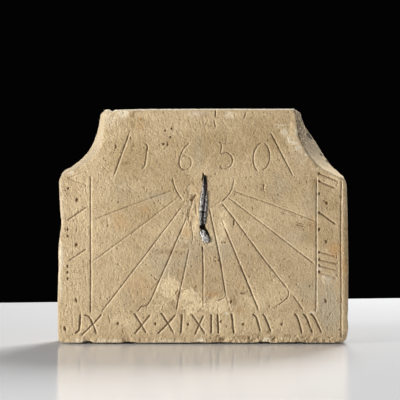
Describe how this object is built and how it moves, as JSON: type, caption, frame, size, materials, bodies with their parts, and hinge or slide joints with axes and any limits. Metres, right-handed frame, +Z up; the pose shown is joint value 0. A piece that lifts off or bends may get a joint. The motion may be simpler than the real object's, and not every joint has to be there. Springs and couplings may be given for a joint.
{
  "type": "vertical sundial",
  "caption": "Carved sandstone wall dial slab with coved shoulders, incised hour lines and Roman numerals, and the leaded root of an iron gnomon blade.",
  "frame": {"origin": "middle of the slab's flat base", "axes": "+X to the right across the dial face, +Y from the face to the back, +Z up"},
  "size_m": [0.45, 0.0745, 0.363],
  "materials": {
    "sandstone": "tooled and weathered",
    "wrought_iron": "rusted and broken",
    "caulked_lead": "hammered and weathered",
    "poured_lead": "cast and weathered"
  },
  "bodies": {
    "root": {"dial_slab": "sandstone", "gnomon_blade": "wrought_iron", "lead_left": "caulked_lead", "lead_right": "caulked_lead", "lead_foot": "poured_lead"}
  },
  "joints": []
}
